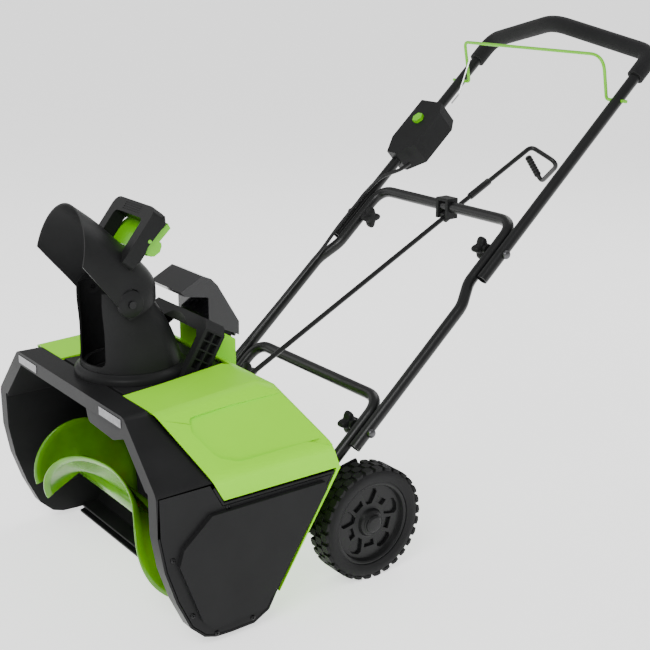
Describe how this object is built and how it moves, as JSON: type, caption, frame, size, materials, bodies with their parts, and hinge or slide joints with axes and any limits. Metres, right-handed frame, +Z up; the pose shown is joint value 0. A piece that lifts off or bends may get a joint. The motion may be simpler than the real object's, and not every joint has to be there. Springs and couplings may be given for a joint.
{
  "type": "snow blower",
  "caption": "single-stage battery snow blower with helical auger, rotating crank-driven chute, tilting deflector, transport wheels and a folding tube handle with bail switch",
  "frame": {"origin": "point on the flat underside of the scraper bar, on the machine's middle plane, at ground height", "axes": "+Z up, -Y forward (the way it drives and throws), +X the side with the belt cover"},
  "size_m": [0.5665, 1.08, 0.865],
  "materials": {
    "black_plastic": "satin moulded plastic",
    "green_plastic": "glossy lime moulded plastic",
    "auger_green": "moulded green rubber",
    "black_tube": "black powder coat",
    "foam": "closed-cell foam",
    "rubber": "matt rubber",
    "steel": "bright steel",
    "clear_lens": "clear lens",
    "smoked": "smoked translucent plastic",
    "motor_metal": "laminated steel motor can",
    "green_paint": "green powder coat"
  },
  "bodies": {
    "chassis": {"auger_housing": "black_plastic", "belt_cover": "black_plastic", "left_side_cover": "black_plastic", "deck_panel": "black_plastic", "scraper_bar": "black_plastic", "carry_handle": "black_plastic", "battery_bay": "green_plastic", "battery_pack": "black_plastic", "lamp_left": "clear_lens", "lamp_right": "clear_lens", "auger_bearing_left": "steel", "auger_bearing_right": "steel", "motor": "motor_metal", "drive_belt": "rubber", "controller": "black_plastic", "hood": "green_plastic", "axle": "steel", "wheel_bracket_left": "black_tube", "wheel_bracket_right": "black_tube", "lower_handle": "black_tube", "mid_handle": "black_tube", "bolt_lower_left": "black_tube", "bolt_lower_right": "black_tube", "cable_lower": "rubber", "cable_gland": "black_plastic", "rod_guide": "black_plastic"},
    "auger_rotor": {"auger": "auger_green", "auger_shaft": "steel", "auger_pulley": "black_plastic"},
    "motor_rotor": {"motor_pulley": "steel"},
    "wheel_left": {"tyre_left": "rubber", "wheel_rim_left": "black_plastic"},
    "wheel_right": {"tyre_right": "rubber", "wheel_rim_right": "black_plastic"},
    "chute": {"chute_ring": "black_plastic", "chute_gear": "black_plastic", "lower_chute": "black_plastic"},
    "deflector": {"deflector": "black_plastic", "deflector_handle": "black_plastic", "deflector_pin_left": "black_plastic", "deflector_pin_right": "black_plastic"},
    "deflector_trigger": {"deflector_trigger": "green_plastic"},
    "crank": {"crank_rod": "black_tube", "crank_grip": "black_plastic", "worm_pinion": "black_plastic"},
    "battery_cover": {"battery_cover": "smoked"},
    "upper_handle": {"upper_handle": "black_tube", "foam_grip": "foam", "switch_box": "black_plastic", "cable_upper": "rubber", "bolt_upper_left": "black_tube", "bolt_upper_right": "black_tube"},
    "bail": {"bail": "green_paint"},
    "pull_wire": {"pull_wire": "steel"},
    "power_button": {"power_button": "green_plastic"},
    "knob_upper_left": {"knob_upper_left": "black_plastic"},
    "knob_upper_right": {"knob_upper_right": "black_plastic"},
    "knob_lower_left": {"knob_lower_left": "black_plastic"},
    "knob_lower_right": {"knob_lower_right": "black_plastic"}
  },
  "joints": [
    {"name": "auger_spin", "type": "hinge", "parent": "chassis", "child": "auger_rotor", "pos_m": [0, -0.07, 0.118], "axis": [1, 0, 0], "continuous": true},
    {"name": "motor_spin", "type": "hinge", "parent": "chassis", "child": "motor_rotor", "pos_m": [0.2655, 0.078, 0.2], "axis": [1, 0, 0], "continuous": true},
    {"name": "wheel_left_spin", "type": "hinge", "parent": "chassis", "child": "wheel_left", "pos_m": [-0.2366, 0.2247, 0.096], "axis": [1, 0, 0], "continuous": true},
    {"name": "wheel_right_spin", "type": "hinge", "parent": "chassis", "child": "wheel_right", "pos_m": [0.2366, 0.2247, 0.096], "axis": [1, 0, 0], "continuous": true},
    {"name": "chute_rotate", "type": "hinge", "parent": "chassis", "child": "chute", "pos_m": [0, -0.065, 0.36], "axis": [0, 0, 1], "range_deg": [-90, 90]},
    {"name": "crank_turn", "type": "hinge", "parent": "chassis", "child": "crank", "pos_m": [0.008, 0.5865, 0.5165], "axis": [0, 0.8918, 0.4524], "range_deg": [-675, 675]},
    {"name": "deflector_tilt", "type": "hinge", "parent": "chute", "child": "deflector", "pos_m": [0, -0.097, 0.478], "axis": [1, 0, 0], "range_deg": [0, 32]},
    {"name": "trigger_squeeze", "type": "hinge", "parent": "deflector", "child": "deflector_trigger", "pos_m": [0, -0.05579, 0.54981], "axis": [1, 0, 0], "range_deg": [0, 8], "stiffness_Nm_per_rad": 0.3},
    {"name": "battery_cover_open", "type": "hinge", "parent": "chassis", "child": "battery_cover", "pos_m": [0, 0.1215, 0.3745], "axis": [-1, 0, 0], "range_deg": [0, 95]},
    {"name": "upper_fold", "type": "hinge", "parent": "chassis", "child": "upper_handle", "pos_m": [0, 0.5378, 0.49096], "axis": [1, 0, 0], "range_deg": [0, 105]},
    {"name": "bail_squeeze", "type": "hinge", "parent": "upper_handle", "child": "bail", "pos_m": [0, 0.805, 0.72986], "axis": [-1, 0, 0], "range_deg": [0, 18], "stiffness_Nm_per_rad": 0.4, "springref_deg": -20.05},
    {"name": "pull_wire_slide", "type": "slide", "parent": "upper_handle", "child": "pull_wire", "axis": [0, 0.7455, 0.6665], "range_m": [0, 0.012]},
    {"name": "power_button_press", "type": "slide", "parent": "upper_handle", "child": "power_button", "axis": [0, 0.6665, -0.7455], "range_m": [0, 0.003], "stiffness_N_per_m": 400},
    {"name": "knob_upper_left_turn", "type": "hinge", "parent": "upper_handle", "child": "knob_upper_left", "pos_m": [-0.158, 0.5378, 0.49096], "axis": [-1, 0, 0], "range_deg": [0, 360]},
    {"name": "knob_upper_right_turn", "type": "hinge", "parent": "upper_handle", "child": "knob_upper_right", "pos_m": [0.158, 0.5378, 0.49096], "axis": [1, 0, 0], "range_deg": [0, 360]},
    {"name": "knob_lower_left_turn", "type": "hinge", "parent": "chassis", "child": "knob_lower_left", "pos_m": [-0.158, 0.2505, 0.23408], "axis": [-1, 0, 0], "range_deg": [0, 360]},
    {"name": "knob_lower_right_turn", "type": "hinge", "parent": "chassis", "child": "knob_lower_right", "pos_m": [0.158, 0.2505, 0.23408], "axis": [1, 0, 0], "range_deg": [0, 360]}
  ],
  "couplings": [
    {"joint": "motor_spin", "follows": "auger_spin", "ratio": 3.9},
    {"joint": "crank_turn", "follows": "chute_rotate", "ratio": 7.5},
    {"joint": "pull_wire_slide", "follows": "bail_squeeze", "m_per_rad": 0.038}
  ]
}
